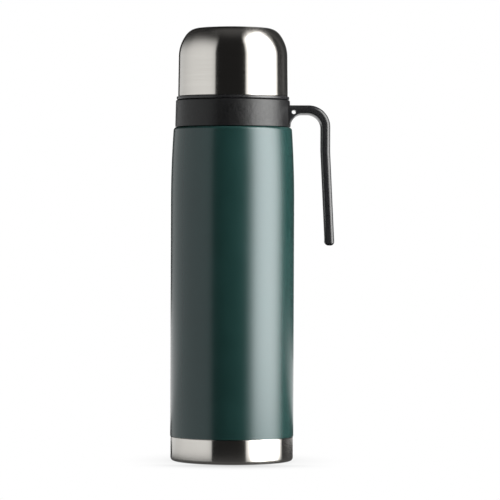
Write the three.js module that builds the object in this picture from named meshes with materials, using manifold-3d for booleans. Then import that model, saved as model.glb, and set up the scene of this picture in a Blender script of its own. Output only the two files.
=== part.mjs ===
// Vacuum flask: a double-walled steel bottle with a screw-on steel cup, a push-button pouring
// stopper and an open handle on its collar. Millimetres, +Z up, the origin at the middle of the
// flat base, and the handle along +X.
import * as THREE from "three";
import { mergeVertices } from "three/addons/utils/BufferGeometryUtils.js";
import Module from "manifold-3d";

const wasm = await Module();
wasm.setup();

// ---- Driving sizes -------------------------------------------------------------------------

const FIXED_GAP = 0.3; // between pieces that are pressed, welded or screwed together
const RUN_GAP = 0.3; // between pieces that turn or slide on each other
const FACET_SAG = 0.1; // added to a running gap between two faceted rounds
const SINK = 0.5; // how far a ridge or an arm is sunk into the wall that carries it
const PAST = 1; // how far a cutter runs past what it cuts

// bottle
const bodyRadius = 43; // outer shell
const shoulderTop = 232.5; // height of the outer shell's shoulder edge
const shellWall = 0.7;
const shoulderLength = 50; // how far below its edge the side begins to curve in
const shoulderSweep = 750; // radius of that long curve
const shoulderEdge = 2.5; // radius of the edge under the collar
const shoulderRise = 2.5; // from the shoulder edge up to the foot of the neck
const bandHeight = 17.2; // bare steel band at the foot
const bandStep = 0.25; // the band is this much slimmer than the shell
const bandCorner = 2.5;
const bandLip = 9; // what goes up inside the shell
const recessRadius = 30.6;
const recessDepth = 3.6;
const sealHoleRadius = 1.2;
const padThickness = 2.4;
const liningWall = 0.6; // inner vessel
const vacuumSpace = 3.1; // between the two walls
const innerShoulder = 14.5; // radius of the inner vessel's shoulder
const innerFloor = 9; // height of the inner vessel's underside
const innerSeam = 16; // height of the seam round the inner vessel
const foilWall = 0.3;
const neckBore = 24; // radius of the mouth
const neckSpace = 2; // vacuum space in the neck
const lipRise = 4.9; // how far the lip stands above the collar's deck
const lipThickness = 1.2;
const neckBead = 0.7; // how far the snap bead stands out
const neckBeadHalf = 0.8; // half its height at the root
const neckBeadFlat = 0.2; // and at the crest
const neckFootWidth = 2.2; // slope at the foot of the neck
const neckFootHeight = 3;
const innerDrop = 6; // from the outer shell's shoulder edge down to the inner vessel's
const bottomCorner = 5; // of the inner bottom
const bottomLip = 6; // what goes up inside the inner vessel
const foilStart = 6; // above the seam
const foilEnd = 4; // below the inner shoulder
const getterInner = 8;
const getterOuter = 11;
const getterThickness = 1.6;
const getterOut = 12; // from the axis

// collar
const collarFoot = 2.83; // the collar's foot is this much slimmer than the body
const collarDraft = 0.42; // and its top this much slimmer than its foot
const collarLift = 0.6; // shadow line between the shell and the collar
const collarHeight = 18.2;
const collarEdge = 1;
const collarWall = 2.6;
const deckThickness = 2.5;
const hubWall = 2.5;
const hubLift = 7.8; // from the shoulder edge to the hub's foot
const stubHeight = 8.7; // threaded ring that the cup screws on
const stubWall = 3.5;
const stubEdge = 0.6;
const grooveSpace = 0.5; // above and below the snap bead
const lugWall = 4; // beside the handle's tenon
const armDraftShare = 0.4; // share of the collar's draft at the middle of the arm
const gasketThickness = 1.5;

// cup
const cupInset = 1.5; // the cup's rim is this much slimmer than the collar's top
const cupWall = 0.5;
const cupSideHeight = 27.4; // from the rim to where the dome starts
const cupTaper = 0.35;
const domeRadius = 25.5;
const domeTurn = THREE.MathUtils.degToRad(38.2);
const domeCorner = 10.9;
const crownRadius = 298;
const linerFlange = 2.1; // height of the black bead under the rim
const linerFlangeOut = 1; // how far the bead stands out from the rim
const linerWall = 1.3;
const linerHeight = 14;
const linerEdge = 0.5;
const shelfReach = 0.8; // how much wider than the stub's bore the seal's shelf is
const shelfEdge = 1.2;
const sealWidth = 3.5;
const sealThickness = 1.7;

// threads
const cupLead = 6;
const cupStarts = 2;
const cupThreadDepth = 0.9;
const cupRidge = 1.1;
const cupThreadTurns = 0.6;
const stopperLead = 4;
const stopperThreadDepth = 1.6;
const stopperRidge = 1.3;
const stopperThreadTurns = 2.2;
const cupThreadStart = 2.6; // above the collar's deck
const stopperThreadStart = 6.2; // above the plug's foot
const vesselThreadStart = 8.2; // above the plug's foot
const vesselThreadTurns = 1.54;

// stopper
const plugLength = 25.2; // below the lip
const plugBore = 12;
const seatBore = 9;
const seatThickness = 5;
const plugEdge = 1;
const landDepth = 4; // of the plain collar of the plug below the lip
const landRise = 1;
const gripFootEdge = 0.6;
const gripTopEdge = 0.8;
const gripRadius = 26.5;
const gripHeight = 9.6;
const chamberRadius = 15.2;
const chamberDepth = 11.2; // below the cover's seat
const coverSeat = 22.6;
const coverDepth = 3.8;
const coverThickness = 3.5;
const coverEdge = 0.6;
const coverBevel = 1.2; // round the button
const gasketGrip = 0.1; // the stopper's gasket is this much wider than the mouth
const gasketInset = 0.4; // and this much narrower than the lip
const windowWidth = 12;
const windowHeight = 4;
const windowFloor = 1; // below the pour windows
const bridgeThickness = 3;
const bridgeDrop = 15; // from the lip down to the bridge's top
const bridgeHub = 4.5;
const bridgeArms = 3;
const armWidth = 3;
const armTurn = 30; // degrees from +X to the first arm
const buttonRadius = 13;
const buttonTop = 1.5; // how far the button stands above the grip
const buttonWall = 1.6;
const buttonFlange = 1.8;
const buttonDrop = 3.2; // from the cover's seat down to the flange
const buttonEdge = 0.8;
const buttonDish = 0.8; // depth of the dish at its middle
const dishEdgeDepth = 0.5;
const dishShare = 0.6; // of the button's radius
const stemRadius = 2;
const stemHeadRadius = 3.2;
const stemHeadDrop = 2; // below the plate
const valveSealLip = 0.4; // how far the seal stands out past its plate
const plateRadius = 11;
const plateThickness = 1.8;
const valveSealThickness = 1.8;
const springWire = 0.6; // radius of the wire
const springRadius = 5.6;
const springCoils = 5;
const springFacets = 10; // to a coil
const tabWidth = 10;
const tabProud = 0.3;
const tabThickness = 3.4;
const tabClearance = 2; // from the button's chamber to the tab

// handle
const handleWidth = 20;
const handleThickness = 6.7;
const armTop = 3.6; // below the collar's top
const bendRadius = 15; // outside of the bend
const bendShare = 0.82; // of the thickness, by which the bend's inside radius is smaller
const handleReach = 27.75; // from the collar to the outside of the leg
const gripLength = 97.4; // from the arm's top to the end
const kinkDrop = 31.8; // below the arm's top, where the leg starts to lean out
const legLean = THREE.MathUtils.degToRad(2.7);
const handleEnd = 2.6; // corner radius at the end of the leg
const handleRound = 1.8; // rounded long edges
const gussetRadius = 8;
const cordHoleRadius = 1.5;
const cordHoleOut = 2.4; // from the collar
const cordHoleDrop = 1.3; // below the arm's middle
const tenonSpace = 1.3; // between the collar's hub and the tenon
const tenonWidth = 16;
const tenonThickness = 5;
const tenonRoot = 3; // how far the tenon runs into the arm
const screwSpacing = 9;
const screwRadius = 1.3;
const screwHead = 2.5;
const screwHeadHeight = 1.6;
const screwCover = 1; // plastic over the screw's tip
const crossLength = 3;
const crossWidth = 0.7;
const crossDepth = 0.9;
const pocketFloor = 3; // plastic between the screw heads and the tenon

// facets
const ROUND = 32;
const SMALL_ROUND = 16;

// ---- Tools ---------------------------------------------------------------------------------

function solid(geometry) {
  const bare = geometry.clone();
  bare.deleteAttribute("normal");
  bare.deleteAttribute("uv");
  const merged = mergeVertices(bare, 1e-4);
  return new wasm.Manifold(
    new wasm.Mesh({
      numProp: 3,
      vertProperties: merged.attributes.position.array,
      triVerts: new Uint32Array(merged.index.array),
    }),
  );
}

function geometryOf(shape) {
  const mesh = shape.getMesh();
  const geometry = new THREE.BufferGeometry();
  geometry.setAttribute("position", new THREE.BufferAttribute(mesh.vertProperties, 3));
  geometry.setIndex(new THREE.BufferAttribute(mesh.triVerts, 1));
  geometry.computeVertexNormals();
  return geometry;
}

// Turns an outline of [radius, height] points about Z. It goes up the outside and down the inside.
function turned(outline, sides = ROUND) {
  const points = outline.map(([r, z]) => new THREE.Vector2(Math.max(r, 0), z));
  if (outline[0][0] > 0) points.push(points[0].clone());
  return solid(new THREE.LatheGeometry(points, sides).rotateX(Math.PI / 2));
}

function ring(inner, outer, low, high, sides = ROUND) {
  const outline = [[outer, low], [outer, high], [inner, high], [inner, low]];
  return turned(outline, sides);
}

function disc(radius, low, high, sides = ROUND) {
  return turned([[0, low], [radius, low], [radius, high], [0, high]], sides);
}

function arc(centreR, centreZ, radius, from, to, steps) {
  return Array.from({ length: steps + 1 }, (_, i) => {
    const a = from + ((to - from) * i) / steps;
    return [centreR + radius * Math.cos(a), centreZ + radius * Math.sin(a)];
  });
}

// A wall between an outline and the same outline moved inwards.
function walled(outline, wall, sides = ROUND) {
  return turned([...outline(0), ...outline(wall).reverse()], sides);
}

function block(x0, x1, y0, y1, z0, z1) {
  const box = new THREE.BoxGeometry(x1 - x0, y1 - y0, z1 - z0);
  return solid(box.translate((x0 + x1) / 2, (y0 + y1) / 2, (z0 + z1) / 2));
}

function rod(x, y, radius, low, high, sides = SMALL_ROUND) {
  return disc(radius, low, high, sides).translate([x, y, 0]);
}

// A thread's ridge: a trapezoid from root to crest, wound up a right-hand helix. A ridge that points
// inwards stands back by what its chords would cut off.
function ridge(root, tip, width, lead, turns, startAngle, startHeight) {
  const flank = width / 4;
  const crest = tip < root ? tip / Math.cos(Math.PI / ROUND) : tip;
  const shape = new THREE.Shape();
  shape.moveTo(root, -width / 2);
  shape.lineTo(crest, -width / 2 + flank);
  shape.lineTo(crest, width / 2 - flank);
  shape.lineTo(root, width / 2);
  shape.closePath();
  const steps = Math.ceil(turns * ROUND);
  const options = { depth: turns * 2 * Math.PI, steps, bevelEnabled: false };
  const geometry = new THREE.ExtrudeGeometry(shape, options);
  const position = geometry.getAttribute("position");
  for (let i = 0; i < position.count; i++) {
    const r = position.getX(i);
    const along = options.depth - position.getZ(i);
    const a = startAngle + along;
    const z = startHeight + position.getY(i) + (lead * along) / (2 * Math.PI);
    position.setXYZ(i, r * Math.cos(a), r * Math.sin(a), z);
  }
  return solid(geometry);
}

function addAll(first, others) {
  return others.reduce((sum, one) => sum.add(one), first);
}

function cutAll(first, others) {
  return others.reduce((rest, one) => rest.subtract(one), first);
}

// ---- Heights and radii that several pieces share -------------------------------------------

const innerRadius = bodyRadius - shellWall - vacuumSpace; // inner vessel, outside
const neckOuter = neckBore + liningWall + neckSpace + shellWall; // outer shell's neck, outside
const lipRadius = neckOuter + shellWall;
const collarLow = shoulderTop + collarLift;
const deckTop = collarLow + collarHeight;
const deckUnder = deckTop - deckThickness;
const hubLow = shoulderTop + hubLift;
const beadHeight = (hubLow + deckUnder) / 2; // of the snap bead that holds the collar on the neck
const lipTop = deckTop + lipRise;
const lipUnder = lipTop - lipThickness;
const shoulderStart = shoulderTop - shoulderEdge - shoulderLength;
const collarTopRadius = bodyRadius - collarFoot - collarDraft;
const flangeLow = deckTop + FIXED_GAP;
const rimHeight = flangeLow + linerFlange + FIXED_GAP;
const rimRadius = collarTopRadius - cupInset;
const linerOuter = rimRadius - cupWall - cupTaper - FIXED_GAP;
const linerBore = linerOuter - linerWall;
const stubCrest = linerBore - RUN_GAP;
const stubRoot = stubCrest - cupThreadDepth;
const stubInner = stubRoot - stubWall;
const stubTop = deckTop + stubHeight;
const gripLow = lipTop + FIXED_GAP + gasketThickness + FIXED_GAP;
const gripTop = gripLow + gripHeight;
const plugLow = lipTop - plugLength;
const plugCrest = neckBore - RUN_GAP - FACET_SAG;
const plugRoot = plugCrest - stopperThreadDepth;
const coverLow = gripTop - coverDepth;
const chamberLow = coverLow - chamberDepth;
const bridgeTop = lipTop - bridgeDrop;
const windowLow = gripLow + windowFloor;
const armHigh = deckTop - armTop;
const armLow = armHigh - handleThickness;
const tenonTop = (armHigh + armLow) / 2 + tenonThickness / 2;
const tenonFoot = tenonTop - tenonThickness;
const collarMid = bodyRadius - collarFoot - collarDraft * armDraftShare; // where the arm meets it
const hubOuter = neckOuter + FIXED_GAP + hubWall;
const tenonEnd = hubOuter + tenonSpace;
const gusset = Math.min(gussetRadius, armLow - collarLow - FIXED_GAP);
const screwX = (hubOuter + collarTopRadius - collarWall) / 2;
const screwTip = tenonTop - screwCover;
const innerHigh = shoulderTop - innerDrop - innerShoulder; // where the inner shoulder starts
const buttonLow = coverLow - buttonDrop - buttonFlange;
const buttonCeiling = gripTop + buttonTop - buttonWall - buttonDish;
const sealLow = plugLow - FIXED_GAP - valveSealThickness;
const plateLow = sealLow - FIXED_GAP - plateThickness;
const stemLow = plateLow - stemHeadDrop;
const stemTop = buttonCeiling - FIXED_GAP;

// ---- Bottle --------------------------------------------------------------------------------

function shellOutline(inset) {
  const lean = Math.asin((shoulderTop - shoulderEdge - shoulderStart) / shoulderSweep);
  const side = arc(bodyRadius - shoulderSweep, shoulderStart, shoulderSweep - inset, 0, lean, 3);
  const edgeRadius = bodyRadius - shoulderSweep + shoulderSweep * Math.cos(lean) - shoulderEdge;
  const edgeHeight = shoulderTop - shoulderEdge;
  const corner = arc(edgeRadius, edgeHeight, shoulderEdge - inset, 0.3, Math.PI / 2, 2);
  const neck = neckOuter - inset;
  const foot = shoulderTop + shoulderRise - inset;
  const top = lipUnder - FIXED_GAP;
  const bead = beadHeight;
  const snap = [
    [neck, bead - neckBeadHalf],
    [neck + neckBead, bead - neckBeadFlat],
    [neck + neckBead, bead + neckBeadFlat],
    [neck, bead + neckBeadHalf],
  ];
  return [
    [bodyRadius - inset, bandHeight],
    ...side,
    ...corner,
    [neck + neckFootWidth, foot],
    [neck, foot + neckFootHeight],
    ...(inset ? [] : snap),
    [neck, top],
  ];
}

function outerShell() {
  return walled(shellOutline, shellWall);
}

function baseCup() {
  const outer = bodyRadius - bandStep;
  const lipOut = bodyRadius - shellWall - FIXED_GAP;
  const high = bandHeight - FIXED_GAP;
  const wall = shellWall;
  const cornerOut = arc(outer - bandCorner, bandCorner, bandCorner, -Math.PI / 2, 0, 2);
  const cornerIn = arc(outer - bandCorner, bandCorner, bandCorner - wall, -Math.PI / 2, 0, 2);
  const outside = [
    [sealHoleRadius, recessDepth],
    [recessRadius, recessDepth],
    [recessRadius, 0],
    ...cornerOut,
    [outer, high],
    [lipOut, high],
    [lipOut, high + bandLip],
  ];
  const inside = [
    [lipOut - wall, high + bandLip],
    [lipOut - wall, high - wall],
    [outer - wall, high - wall],
    ...cornerIn.reverse(),
    [recessRadius + wall, wall],
    [recessRadius + wall, recessDepth + wall],
    [sealHoleRadius, recessDepth + wall],
  ];
  return turned([...outside, ...inside]);
}

function basePad() {
  return disc(recessRadius - FIXED_GAP, 0, padThickness);
}

function sealBead() {
  const radius = sealHoleRadius * 2;
  const low = padThickness + FIXED_GAP;
  return disc(radius, low, recessDepth - FIXED_GAP, SMALL_ROUND);
}

function getter() {
  const low = recessDepth + shellWall + FIXED_GAP;
  const washer = ring(getterInner, getterOuter, low, low + getterThickness, SMALL_ROUND);
  return washer.translate([getterOut, 0, 0]);
}

function innerOutline(inset) {
  const bend = innerRadius - innerShoulder;
  const neck = neckBore + liningWall - inset;
  const span = Math.acos((neck - bend) / (innerShoulder - inset));
  return [
    [innerRadius - inset, innerSeam],
    ...arc(bend, innerHigh, innerShoulder - inset, 0, span, 4),
    [neck, inset ? lipTop : lipUnder],
    ...(inset ? [] : [[lipRadius, lipUnder], [lipRadius, lipTop]]),
  ];
}

function innerVessel() {
  const crest = plugRoot + RUN_GAP + FACET_SAG;
  const thread = ridge(
    neckBore + liningWall / 2, crest, stopperRidge, stopperLead, vesselThreadTurns, 0,
    plugLow + vesselThreadStart,
  );
  return walled(innerOutline, liningWall).add(thread);
}

function innerBottom() {
  const outer = innerRadius;
  const lip = innerRadius - liningWall - FIXED_GAP;
  const high = innerSeam - FIXED_GAP;
  const centre = [outer - bottomCorner, innerFloor + bottomCorner];
  const cornerOut = arc(...centre, bottomCorner, -Math.PI / 2, 0, 2);
  const cornerIn = arc(...centre, bottomCorner - liningWall, 0, -Math.PI / 2, 2);
  return turned([
    [0, innerFloor],
    ...cornerOut,
    [outer, high],
    [lip, high],
    [lip, high + bottomLip],
    [lip - liningWall, high + bottomLip],
    [lip - liningWall, high - liningWall],
    ...cornerIn,
    [0, innerFloor + liningWall],
  ]);
}

function copperFoil() {
  const inner = innerRadius + FIXED_GAP;
  return ring(inner, inner + foilWall, innerSeam + foilStart, innerHigh - foilEnd);
}

// ---- Collar and handle ---------------------------------------------------------------------

function collar() {
  const foot = bodyRadius - collarFoot;
  const hubIn = neckOuter + FIXED_GAP;
  const groove = neckBeadHalf + grooveSpace;
  const edge = arc(collarTopRadius - collarEdge, deckTop - collarEdge, collarEdge, 0, Math.PI / 2, 2);
  const body = turned([
    [foot, collarLow],
    ...edge,
    [stubRoot, deckTop],
    [stubRoot, stubTop - stubEdge],
    [stubRoot - stubEdge, stubTop],
    [stubInner, stubTop],
    [stubInner, deckTop],
    [hubIn, deckTop],
    [hubIn, beadHeight + groove],
    [hubIn + neckBead, beadHeight + neckBeadHalf],
    [hubIn + neckBead, beadHeight - neckBeadHalf],
    [hubIn, beadHeight - groove],
    [hubIn, hubLow],
    [hubOuter, hubLow],
    [hubOuter, deckUnder],
    [collarTopRadius - collarWall, deckUnder],
    [foot - collarWall, collarLow],
  ]);
  const blockLow = tenonFoot - FIXED_GAP - pocketFloor;
  const blockHigh = deckUnder + SINK;
  const half = tenonWidth / 2 + lugWall;
  const core = ring(hubOuter - SINK, collarTopRadius - collarWall + SINK, blockLow, blockHigh);
  const lug = core.intersect(block(0, bodyRadius, -half, half, blockLow, blockHigh));
  const pocket = block(
    tenonEnd - FIXED_GAP, bodyRadius,
    -tenonWidth / 2 - FIXED_GAP, tenonWidth / 2 + FIXED_GAP,
    tenonFoot - FIXED_GAP, tenonTop + FIXED_GAP,
  );
  const holes = [-1, 1].map((side) =>
    rod(screwX, (side * screwSpacing) / 2, screwRadius + FIXED_GAP, blockLow - PAST, tenonFoot),
  );
  const threads = Array.from({ length: cupStarts }, (_, i) =>
    ridge(
      stubRoot - SINK, stubCrest, cupRidge, cupLead, cupThreadTurns,
      (i * 2 * Math.PI) / cupStarts, deckTop + cupThreadStart,
    ),
  );
  return addAll(cutAll(body.add(lug), [pocket, ...holes]), threads);
}

function collarGasket() {
  const low = deckTop + FIXED_GAP;
  return ring(neckOuter + FIXED_GAP, stubInner - FIXED_GAP, low, low + gasketThickness);
}

function handleOutline() {
  const outerX = collarMid + handleReach;
  const innerX = outerX - handleThickness;
  const inside = Math.max(bendRadius - handleThickness * bendShare, 1);
  const kink = armHigh - kinkDrop;
  const end = armHigh - gripLength;
  const lean = Math.tan(legLean) * (kink - end);
  const path = new THREE.Path();
  path.moveTo(collarMid - gusset, armLow - gusset);
  path.lineTo(collarMid + FIXED_GAP, armLow - gusset);
  path.absarc(
    collarMid + FIXED_GAP + gusset, armLow - gusset, gusset, Math.PI, Math.PI / 2, true,
  );
  path.lineTo(innerX - inside, armLow);
  path.absarc(innerX - inside, armLow - inside, inside, Math.PI / 2, 0, true);
  path.lineTo(innerX, kink);
  path.lineTo(innerX + lean, end + handleEnd);
  path.absarc(innerX + lean + handleEnd, end + handleEnd, handleEnd, Math.PI, Math.PI * 1.5, false);
  path.lineTo(outerX + lean - handleEnd, end);
  path.absarc(outerX + lean - handleEnd, end + handleEnd, handleEnd, -Math.PI / 2, 0, false);
  path.lineTo(outerX, kink);
  path.lineTo(outerX, armHigh - bendRadius);
  path.absarc(outerX - bendRadius, armHigh - bendRadius, bendRadius, 0, Math.PI / 2, false);
  path.lineTo(collarMid - gusset, armHigh);
  return path;
}

function handle() {
  const points = handleOutline().getPoints(4);
  const inset = handleRound;
  const flat = new THREE.Shape(points);
  const bevel = {
    depth: handleWidth - 2 * inset,
    bevelThickness: inset,
    bevelSize: inset,
    bevelOffset: -inset,
    bevelSegments: 2,
    curveSegments: 1,
    steps: 1,
  };
  const bar = new THREE.ExtrudeGeometry(flat, bevel).rotateX(Math.PI / 2);
  const strap = solid(bar.translate(0, handleWidth / 2 - inset, 0));
  const foot = bodyRadius - collarFoot + FIXED_GAP;
  const top = collarTopRadius + FIXED_GAP;
  const [low, high] = [collarLow - collarHeight, deckTop + collarHeight];
  const space = [[0, low], [foot + collarDraft, low], [top - collarDraft, high], [0, high]];
  const collarSpace = turned(space);
  const tenon = block(
    tenonEnd, collarMid + tenonRoot, -tenonWidth / 2, tenonWidth / 2, tenonFoot, tenonTop,
  );
  const screwHoles = [-1, 1].map((side) =>
    rod(screwX, (side * screwSpacing) / 2, screwRadius + FIXED_GAP, tenonFoot - PAST, screwTip),
  );
  const cordHole = disc(cordHoleRadius, -handleWidth, handleWidth, SMALL_ROUND)
    .rotate([90, 0, 0])
    .translate([collarMid + cordHoleOut, 0, (armHigh + armLow) / 2 - cordHoleDrop]);
  return cutAll(strap.subtract(collarSpace).add(tenon), [...screwHoles, cordHole]);
}

function handleScrew(side) {
  const y = (side * screwSpacing) / 2;
  const headTop = tenonFoot - FIXED_GAP - pocketFloor - FIXED_GAP;
  const head = rod(screwX, y, screwHead, headTop - screwHeadHeight, headTop);
  const shank = rod(screwX, y, screwRadius, headTop - SINK, screwTip - FIXED_GAP);
  const headLow = headTop - screwHeadHeight;
  const slot = block(
    -crossLength / 2, crossLength / 2, -crossWidth / 2, crossWidth / 2, headLow - PAST, headLow + crossDepth,
  );
  const cross = [0, 90].map((turn) => slot.rotate([0, 0, turn]).translate([screwX, y, 0]));
  return cutAll(head.add(shank), cross);
}

// ---- Cup -----------------------------------------------------------------------------------

function cupOutline(inset) {
  const side = rimRadius - cupTaper;
  const domeStart = rimHeight + cupSideHeight;
  const first = arc(side - domeRadius, domeStart, domeRadius - inset, 0, domeTurn, 4);
  const turnR = side - domeRadius + (domeRadius - domeCorner) * Math.cos(domeTurn);
  const turnZ = domeStart + (domeRadius - domeCorner) * Math.sin(domeTurn);
  const crownTurn = Math.acos(turnR / (crownRadius - domeCorner));
  const second = arc(turnR, turnZ, domeCorner - inset, domeTurn, crownTurn, 4);
  const crownZ = turnZ - (crownRadius - domeCorner) * Math.sin(crownTurn);
  return [
    [rimRadius - inset, rimHeight],
    ...first,
    ...second.slice(1),
    [0, crownZ + crownRadius - inset],
  ];
}

function cupShell() {
  return walled(cupOutline, cupWall);
}

function cupLiner() {
  const flange = rimRadius + linerFlangeOut;
  const flangeTop = flangeLow + linerFlange;
  const shoulder = stubTop + FIXED_GAP + sealThickness + FIXED_GAP;
  const top = flangeLow + linerHeight;
  const body = turned([
    [linerBore, flangeLow],
    [flange - linerEdge, flangeLow],
    [flange, flangeLow + linerEdge],
    [flange, flangeTop - linerEdge],
    [flange - linerEdge, flangeTop],
    [linerOuter, flangeTop],
    [linerOuter, top],
    [linerBore, top],
    [stubInner + shelfReach, shoulder + shelfEdge],
    [stubInner + shelfReach, shoulder],
    [linerBore, shoulder],
  ]);
  const threads = Array.from({ length: cupStarts }, (_, i) =>
    ridge(
      linerBore + SINK, stubRoot + RUN_GAP, cupRidge, cupLead, cupThreadTurns,
      (i * 2 * Math.PI) / cupStarts, deckTop + cupThreadStart - cupLead / cupStarts / 2,
    ),
  );
  return addAll(body, threads);
}

function cupSeal() {
  const low = stubTop + FIXED_GAP;
  const outer = linerBore - RUN_GAP;
  return ring(outer - sealWidth, outer, low, low + sealThickness);
}

// ---- Stopper -------------------------------------------------------------------------------

function stopperBody() {
  const body = turned([
    [seatBore, plugLow],
    [plugRoot - plugEdge, plugLow],
    [plugRoot, plugLow + plugEdge],
    [plugRoot, lipTop - landDepth - landRise],
    [plugCrest, lipTop - landDepth],
    [plugCrest, gripLow],
    [gripRadius - gripFootEdge, gripLow],
    [gripRadius, gripLow + gripFootEdge],
    [gripRadius, gripTop - gripTopEdge],
    [gripRadius - gripTopEdge, gripTop],
    [coverSeat, gripTop],
    [coverSeat, coverLow],
    [chamberRadius, coverLow],
    [chamberRadius, chamberLow],
    [plugBore, chamberLow],
    [plugBore, plugLow + seatThickness],
    [seatBore, plugLow + seatThickness],
  ]);
  const arms = Array.from({ length: bridgeArms }, (_, i) =>
    block(0, plugBore + SINK, -armWidth / 2, armWidth / 2, bridgeTop - bridgeThickness, bridgeTop)
      .rotate([0, 0, (360 * i) / bridgeArms + armTurn]),
  );
  const hub = disc(bridgeHub, bridgeTop - bridgeThickness, bridgeTop, SMALL_ROUND);
  const stemHole = disc(
    stemRadius + RUN_GAP, bridgeTop - bridgeThickness - PAST, bridgeTop + PAST, SMALL_ROUND,
  );
  const thread = ridge(
    plugRoot - SINK, plugCrest, stopperRidge, stopperLead, stopperThreadTurns, 0,
    plugLow + stopperThreadStart,
  );
  const pours = block(
    -gripRadius - PAST, gripRadius + PAST, -windowWidth / 2, windowWidth / 2,
    windowLow, windowLow + windowHeight,
  );
  const tabs = block(
    -tabWidth / 2 - RUN_GAP, tabWidth / 2 + RUN_GAP, -gripRadius - PAST, gripRadius + PAST,
    windowLow, windowLow + windowHeight,
  );
  const hollow = addAll(body, [...arms, hub]).subtract(stemHole);
  return cutAll(hollow.add(thread), [pours, tabs]);
}

function stopperCover() {
  const outer = coverSeat - FIXED_GAP;
  const hole = buttonRadius + RUN_GAP + FACET_SAG;
  const low = coverLow + FIXED_GAP;
  const high = low + coverThickness;
  return turned([
    [outer, low],
    [outer, high - coverEdge],
    [outer - coverEdge, high],
    [hole + coverBevel, high],
    [hole, high - coverBevel],
    [hole, low],
  ]);
}

function stopperGasket() {
  const low = lipTop + FIXED_GAP;
  return ring(neckBore + gasketGrip, lipRadius - gasketInset, low, low + gasketThickness);
}

function pushButton() {
  const top = gripTop + buttonTop;
  const flange = chamberRadius - RUN_GAP - FACET_SAG;
  return turned([
    [buttonRadius - buttonWall, buttonLow],
    [flange, buttonLow],
    [flange, buttonLow + buttonFlange],
    [buttonRadius, buttonLow + buttonFlange],
    [buttonRadius, top - buttonEdge],
    [buttonRadius - buttonEdge, top],
    [buttonRadius * dishShare, top - dishEdgeDepth],
    [0, top - buttonDish],
    [0, buttonCeiling],
    [buttonRadius - buttonWall, buttonCeiling],
  ]);
}

function valveStem() {
  return turned([
    [0, stemLow],
    [stemHeadRadius, stemLow],
    [stemHeadRadius, plateLow - FIXED_GAP],
    [stemRadius, plateLow - FIXED_GAP],
    [stemRadius, stemTop],
    [0, stemTop],
  ], SMALL_ROUND);
}

function valvePlate() {
  return ring(stemRadius + FIXED_GAP, plateRadius, plateLow, plateLow + plateThickness);
}

function valveSeal() {
  const outer = plateRadius + valveSealLip;
  return ring(stemRadius + FIXED_GAP, outer, sealLow, sealLow + valveSealThickness);
}

class Helix extends THREE.Curve {
  constructor(radius, low, high, coils) {
    super();
    Object.assign(this, { radius, low, high, coils });
  }
  getPoint(t, target = new THREE.Vector3()) {
    const a = t * this.coils * 2 * Math.PI;
    const z = this.low + (this.high - this.low) * t;
    return target.set(this.radius * Math.cos(a), this.radius * Math.sin(a), z);
  }
}

function valveSpring() {
  const section = new THREE.Shape().absarc(0, 0, springWire, 0, 2 * Math.PI, false);
  const low = bridgeTop + FIXED_GAP + springWire;
  const high = buttonCeiling - FIXED_GAP - springWire;
  const extrudePath = new Helix(springRadius, low, high, springCoils);
  const outline = new THREE.Shape(section.getPoints(3));
  return solid(new THREE.ExtrudeGeometry(outline, { extrudePath, steps: springCoils * springFacets }));
}

function releaseTab(side) {
  const low = windowLow + (windowHeight - tabThickness) / 2;
  const face = disc(gripRadius + tabProud, low, low + tabThickness);
  const inner = chamberRadius + tabClearance;
  const outer = gripRadius + tabProud + PAST;
  const bar = block(-tabWidth / 2, tabWidth / 2, inner, outer, low, low + tabThickness);
  return face.intersect(bar).rotate([0, 0, side > 0 ? 0 : 180]);
}

// ---- The assembly --------------------------------------------------------------------------

const material = (color, roughness, metalness) =>
  new THREE.MeshStandardMaterial({ color, roughness, metalness });
const lacquer = material(0x1f4a43, 0.35, 0.3);
const steel = material(0xc4c0bb, 0.3, 1);
const copper = material(0xb87351, 0.35, 1);
const blackPlastic = material(0x222224, 0.5, 0);
const silicone = material(0x9b9c9d, 0.7, 0);
const blackRubber = material(0x1b1b1c, 0.85, 0);
const glass = material(0x6b6f70, 0.2, 0);
const zinc = material(0x9da1a4, 0.4, 1);

const flask = new THREE.Group();

function place(name, shape, finish) {
  const mesh = new THREE.Mesh(geometryOf(shape), finish);
  mesh.name = name;
  flask.add(mesh);
}

place("outer_shell", outerShell(), lacquer);
place("base_cup", baseCup(), steel);
place("base_pad", basePad(), blackRubber);
place("vacuum_seal_bead", sealBead(), glass);
place("getter", getter(), zinc);
place("inner_vessel", innerVessel(), steel);
place("inner_bottom", innerBottom(), steel);
place("copper_foil", copperFoil(), copper);
place("collar", collar(), blackPlastic);
place("collar_gasket", collarGasket(), silicone);
place("handle", handle(), blackPlastic);
place("handle_screw_front", handleScrew(-1), zinc);
place("handle_screw_rear", handleScrew(1), zinc);
place("cup_shell", cupShell(), steel);
place("cup_liner", cupLiner(), blackPlastic);
place("cup_seal", cupSeal(), silicone);
place("stopper_body", stopperBody(), blackPlastic);
place("stopper_cover", stopperCover(), blackPlastic);
place("stopper_gasket", stopperGasket(), silicone);
place("push_button", pushButton(), blackPlastic);
place("valve_stem", valveStem(), blackPlastic);
place("valve_plate", valvePlate(), blackPlastic);
place("valve_seal", valveSeal(), silicone);
place("valve_spring", valveSpring(), steel);
place("release_tab_rear", releaseTab(1), blackPlastic);
place("release_tab_front", releaseTab(-1), blackPlastic);

export default flask;
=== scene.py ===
"""A vacuum flask: green lacquered bottle, brushed steel cup and foot, black collar and open handle."""
import math

import bmesh
import bpy
from mathutils import Matrix, Vector

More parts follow.
